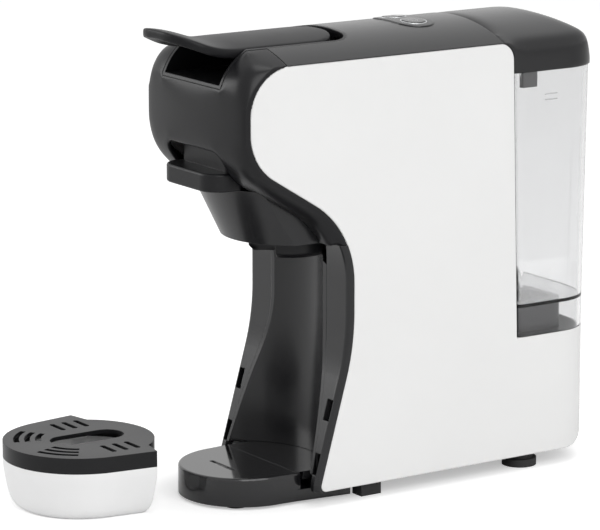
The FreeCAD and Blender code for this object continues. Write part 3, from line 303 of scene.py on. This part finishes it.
# Softer copies of moulded pieces: voxel size, rounds of smoothing, where it acts and what bends them.
softPieces = {
    "head_shell": {"body": "machine", "slot": "black_satin", "paint": "blackSatin", "voxel": 0.0008,
                   "rounds": 260, "rim": 0.004, "fade": 0.008, "middle": (0.0, -0.075, 0.225)},
    "lever": {"body": "lever", "slot": "black_satin", "paint": "blackMatt", "voxel": 0.0007,
              "rounds": 14},
    "tank_lid": {"body": "lid", "slot": "black_gloss", "paint": "blackSheen", "voxel": 0.0008,
                 "rounds": 180, "rim": 0.0035, "fade": 0.007, "middle": (0.0, 0.095, 0.25)},
    "button_bezel": {"body": "machine", "slot": "black_gloss", "paint": "blackSheen", "voxel": 0.0004,
                     "rounds": 3, "crowned": True},
    "left_button": {"body": "left_button", "slot": "black_gloss", "paint": "blackGloss",
                    "voxel": 0.0003, "rounds": 4, "crowned": True},
    "right_button": {"body": "right_button", "slot": "black_gloss", "paint": "blackGloss",
                     "voxel": 0.0003, "rounds": 4, "crowned": True},
    "spout_collar": {"body": "machine", "slot": "black_satin", "paint": "blackSatin", "voxel": 0.0005,
                     "rounds": 3, "deepen": 2.07},
}
weldDistance = 1e-6
smoothStep = 0.5
farAway = 1e9
leastFacing = 0.45

# The bezel and what sits in it follow the crowned cover, from the bezel's foot up.
crownRadius = 0.1367
bezelLow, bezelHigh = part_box("button_bezel")


def crowned(points):
    share = numpy.clip((points[:, 2] - bezelLow.z) / (bezelHigh.z - bezelLow.z), 0.0, 1.0)
    bent = points + 0.0
    bent[:, 2] -= share * points[:, 0] ** 2 / (2 * crownRadius)
    return bent


# The collar hangs lower than its solid, chamfered below and kept in front of the splash plate.
collarForm = {"axis": -0.057, "radius": 0.026, "chamfer": 0.0034, "plateAxis": -0.093,
              "plateInside": 0.0503}


def deepened(points, factor):
    axis, plateAxis, chamfer = collarForm["axis"], collarForm["plateAxis"], collarForm["chamfer"]
    top = points[:, 2].max()
    hung = points + 0.0
    hung[:, 2] = top - (top - points[:, 2]) * factor
    cut = numpy.clip(hung[:, 2].min() + chamfer - hung[:, 2], 0.0, chamfer)
    narrow = 1 - cut / collarForm["radius"]
    hung[:, 0] *= narrow
    hung[:, 1] = axis + (hung[:, 1] - axis) * narrow
    reach = numpy.hypot(hung[:, 0], hung[:, 1] - plateAxis)
    inside = numpy.minimum(1.0, collarForm["plateInside"] / reach)
    hung[:, 0] *= inside
    hung[:, 1] = plateAxis + (hung[:, 1] - plateAxis) * inside
    return hung


def readArray(items, attribute, width, kind=numpy.float64):
    values = numpy.empty(len(items) * width, dtype=kind)
    items.foreach_get(attribute, values)
    return values.reshape(-1, width)


def movePoints(mesh, points):
    mesh.vertices.foreach_set("co", points.ravel())
    mesh.update()


def crownPiece(piece):
    movePoints(piece.data, crowned(readArray(piece.data.vertices, "co", 3)))


def remeshed(node, voxel):
    shape = bmesh.new()
    shape.from_mesh(nodes[node].data)
    bmesh.ops.remove_doubles(shape, verts=shape.verts, dist=weldDistance)
    mesh = bpy.data.meshes.new(node + "Copy")
    shape.to_mesh(mesh)
    shape.free()
    piece = bpy.data.objects.new(node + "_soft", mesh)
    scene.collection.objects.link(piece)
    grid = piece.modifiers.new("grid", "REMESH")
    grid.mode = "VOXEL"
    grid.voxel_size = voxel
    grid.use_smooth_shade = True
    settle(piece, node + "_soft")
    return piece


def softenWeights(mesh, points, edges, look):
    # 0 on the inner walls and along the rims, rising to 1 out on the open skin
    if "middle" not in look:
        return numpy.ones(len(points))
    outward = points - numpy.array(look["middle"])
    outward /= numpy.linalg.norm(outward, axis=1)[:, None]
    facing = (outward * readArray(mesh.vertices, "normal", 3)).sum(1)
    away = numpy.where(facing > leastFacing, farAway, 0.0)
    for _ in range(int((look["rim"] + look["fade"]) / look["voxel"]) + 1):
        near = away + 0.0
        numpy.minimum.at(near, edges[:, 0], away[edges[:, 1]] + look["voxel"])
        numpy.minimum.at(near, edges[:, 1], away[edges[:, 0]] + look["voxel"])
        away = near
    return numpy.clip((away - look["rim"]) / look["fade"], 0.0, 1.0)


def smoothed(points, edges, weights, rounds):
    # moves each point towards the middle of its neighbours
    count = len(points)
    first, second = edges[:, 0], edges[:, 1]
    neighbours = numpy.bincount(edges.ravel(), minlength=count)[:, None]
    for _ in range(rounds):
        sums = numpy.stack([numpy.bincount(first, points[second, axis], count)
                            + numpy.bincount(second, points[first, axis], count)
                            for axis in range(3)], 1)
        points = points + weights * (sums / neighbours - points)
    return points


def buildSoftPiece(node):
    look = softPieces[node]
    piece = remeshed(node, look["voxel"])
    mesh = piece.data
    points = readArray(mesh.vertices, "co", 3)
    edges = readArray(mesh.edges, "vertices", 2, numpy.int64)
    weights = softenWeights(mesh, points, edges, look)[:, None] * smoothStep
    points = smoothed(points, edges, weights, look["rounds"])
    if look.get("crowned"):
        points = crowned(points)
    if "deepen" in look:
        points = deepened(points, look["deepen"])
    movePoints(mesh, points)
    mesh.materials.clear()
    mesh.materials.append(paints[look["paint"]])
    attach(piece, look["body"])
    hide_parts(node)


for softName in softPieces:
    buildSoftPiece(softName)
print("soft forms made")

# Bright rings round the two buttons, pressed into the bezel.
buttonRings = {"button": 0.0074, "wire": 0.0005, "outside": 0.0007, "sink": 0.0002}


def buildButtonRings():
    low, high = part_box("left_button")
    otherLow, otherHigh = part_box("right_button")
    middle = (low + high) / 2
    step = (otherLow + otherHigh) / 2 - middle
    rings = growPiece("button_rings", ringRow, {
        "Count": 2, "Start": (middle.x, middle.y, bezelHigh.z - buttonRings["sink"]),
        "Step": (step.x, step.y, 0.0), "Radius": buttonRings["button"] + buttonRings["outside"],
        "Wire": buttonRings["wire"], "Paint": paints["steel"]})
    crownPiece(rings)
    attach(rings, "machine")


# Level marks on both cheeks of the tank: two short lines near its top.
levelMarks = {"count": 2, "long": 0.010, "tall": 0.0006, "proud": 0.0002, "fromRear": 0.045,
              "fromTop": 0.015, "gap": 0.0036}


def buildLevelMarks():
    low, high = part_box("water_tank")
    proud = levelMarks["proud"]
    for label, cheek, outward in (("left", low.x, -1), ("right", high.x, 1)):
        marks = growPiece(label + "_level_marks", barRow, {
            "Count": levelMarks["count"],
            "Start": (cheek + outward * proud / 2, high.y - levelMarks["fromRear"],
                      high.z - levelMarks["fromTop"]),
            "Step": (0.0, 0.0, -levelMarks["gap"]),
            "Bar": (proud, levelMarks["long"], levelMarks["tall"]), "Paint": paints["markGrey"]})
        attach(marks, "tank")


# A strip that covers the slit between the round foot and the floor of the recess behind it.
baseBridge = {"front": -0.0790, "rear": -0.0726, "half": 0.0395, "thick": 0.0004, "proud": 0.00004}


def buildBaseBridge():
    front, rear, thick = baseBridge["front"], baseBridge["rear"], baseBridge["thick"]
    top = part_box("front_base")[1].z + baseBridge["proud"]
    bridge = growPiece("base_bridge", barRow, {
        "Count": 1, "Start": (0.0, (front + rear) / 2, top - thick / 2), "Step": (0.0, 0.0, 0.0),
        "Bar": (2 * baseBridge["half"], rear - front, thick), "Paint": paints["blackStrip"]})
    bridge.data.shade_flat()
    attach(bridge, "machine")


# A cup printed on each button, small on one and large on the other.
# The strokes of cup, saucer and ear are in shares of the cup's half width and its height.
cupMarks = {
    "tall": {"left_button": 0.0026, "right_button": 0.0036}, "slender": 0.62, "line": 0.00035,
    "proud": 0.00008,
    "strokes": [[(-1.0, 0.5), (-0.72, -0.5), (0.72, -0.5), (1.0, 0.5), (-1.0, 0.5)],
                [(-1.25, -0.74), (1.25, -0.74)],
                [(0.95, 0.3), (1.5, 0.22), (1.42, -0.12), (0.82, -0.16)]],
}


def drawLine(shape, first, second, bottom):
    along = (second - first).normalized() * cupMarks["line"] / 2
    across = Vector((-along.y, along.x))
    corners = [first - along - across, second + along - across,
               second + along + across, first - along + across]
    face = shape.faces.new([shape.verts.new((corner.x, corner.y, bottom)) for corner in corners])
    raised = bmesh.ops.extrude_face_region(shape, geom=[face])["geom"]
    bmesh.ops.translate(shape, vec=(0, 0, cupMarks["proud"]),
                        verts=[part for part in raised if isinstance(part, bmesh.types.BMVert)])


def buildCupMark(button):
    low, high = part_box(button)
    middle = (low + high) / 2
    tall = cupMarks["tall"][button]
    wide = tall * cupMarks["slender"]
    shape = bmesh.new()
    for stroke in cupMarks["strokes"]:
        run = [Vector((middle.x + wide * x, middle.y + tall * y)) for x, y in stroke]
        for first, second in zip(run, run[1:]):
            drawLine(shape, first, second, high.z)
    bmesh.ops.recalc_face_normals(shape, faces=shape.faces)
    mesh = bpy.data.meshes.new(button + "_mark")
    shape.to_mesh(mesh)
    shape.free()
    mesh.materials.append(paints["markGrey"])
    mark = bpy.data.objects.new(button + "_mark", mesh)
    scene.collection.objects.link(mark)
    crownPiece(mark)
    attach(mark, button)


buildButtonRings()
buildLevelMarks()
buildBaseBridge()
for buttonName in cupMarks["tall"]:
    buildCupMark(buttonName)
print("trim made")

# Studio: a white floor that keeps the shadow, a pale sky and three soft lamps.
floorLook = {"size": 12.0, "grey": (0.86, 0.86, 0.86), "dust": (0.88, 0.88, 0.88), "dustScale": 3.0,
             "dustDetail": 2.0, "rough": 0.9, "lift": 0.42}
skyLook = {"light": 0.50, "mirrored": 0.90, "seen": 1.0}
white = (1.0, 1.0, 1.0, 1.0)
lampShape = 0.8
lamps = [
    {"name": "sideLamp", "place": (2.4, -0.4, 1.7), "aim": (0, 0, 0.15), "width": 2.2, "power": 36},
    {"name": "frontLamp", "place": (-1.9, -1.9, 1.0), "aim": (0, -0.05, 0.18), "width": 1.5, "power": 20},
    {"name": "topLamp", "place": (0.1, 0.3, 2.6), "aim": (0, 0, 0.2), "width": 1.6, "power": 16},
]


def rayKinds(tree):
    # rays that show the studio straight or through the tank, and rays that mirror it
    path = tree.nodes.new("ShaderNodeLightPath").outputs
    straight, through, mirrored = [Flow(tree, path["Is " + kind + " Ray"])
                                   for kind in ("Camera", "Transmission", "Glossy")]
    return straight.maths("MAXIMUM", through), mirrored


def buildFloor():
    mesh = bpy.data.meshes.new("studioFloor")
    reach = floorLook["size"]
    corners = [(-reach, -reach, 0), (reach, -reach, 0), (reach, reach, 0), (-reach, reach, 0)]
    mesh.from_pydata(corners, [], [(0, 1, 2, 3)])
    floor = bpy.data.objects.new("studioFloor", mesh)
    scene.collection.objects.link(floor)
    material, tree, output, place = startMaterial("studioFloorPaint")
    dust = noise(place, floorLook["dustScale"], floorLook["dustDetail"])
    paint = place.make("ShaderNodeBsdfPrincipled",
                       Base_Color=blendColours(place, dust, floorLook["grey"], floorLook["dust"]),
                       Roughness=floorLook["rough"], Specular_IOR_Level=0.0)
    lift = place.make("ShaderNodeEmission", Color=white, Strength=floorLook["lift"])
    lifted = place.make("ShaderNodeAddShader", in0=paint, in1=lift)
    direct, _ = rayKinds(tree)
    shown = place.make("ShaderNodeMixShader", in0=direct, in1=paint, in2=lifted)
    tree.links.new(shown.socket, output.inputs["Surface"])
    mesh.materials.append(material)


def buildSky():
    world = bpy.data.worlds.new("studioSky")
    world.use_nodes = True
    scene.world = world
    tree = world.node_tree
    tree.nodes.clear()
    output = tree.nodes.new("ShaderNodeOutputWorld")
    direct, mirrored = rayKinds(tree)
    light = skyLook["light"]
    extra = (direct * (skyLook["seen"] - light)).maths("MAXIMUM", mirrored * (skyLook["mirrored"] - light))
    glow = direct.make("ShaderNodeBackground", Color=white, Strength=extra + light)
    tree.links.new(glow.socket, output.inputs["Surface"])


def placeAimed(name, data, place, aim):
    holder = bpy.data.objects.new(name, data)
    holder.location = place
    holder.rotation_euler = (Vector(aim) - Vector(place)).to_track_quat("-Z", "Y").to_euler()
    scene.collection.objects.link(holder)
    return holder


def buildLamps():
    for look in lamps:
        lamp = bpy.data.lights.new(look["name"], "AREA")
        lamp.shape = "RECTANGLE"
        lamp.size = look["width"]
        lamp.size_y = look["width"] * lampShape
        lamp.energy = look["power"]
        placeAimed(look["name"], lamp, look["place"], look["aim"])


# Camera at the photographed angle: long lens, three quarter front.
shot = {"place": (1.8261, -1.2747, 0.6181), "aim": (0.0, -0.04946, 0.14149), "lens": 215.0,
        "sensor": 36.0, "reach": 60.0}


def buildCamera():
    lens = bpy.data.cameras.new("shotCamera")
    lens.lens = shot["lens"]
    lens.sensor_width = shot["sensor"]
    lens.clip_end = shot["reach"]
    scene.camera = placeAimed("shotCamera", lens, shot["place"], shot["aim"])


buildFloor()
buildSky()
buildLamps()
buildCamera()
scene.view_settings.view_transform = "Standard"
print("studio and camera set")
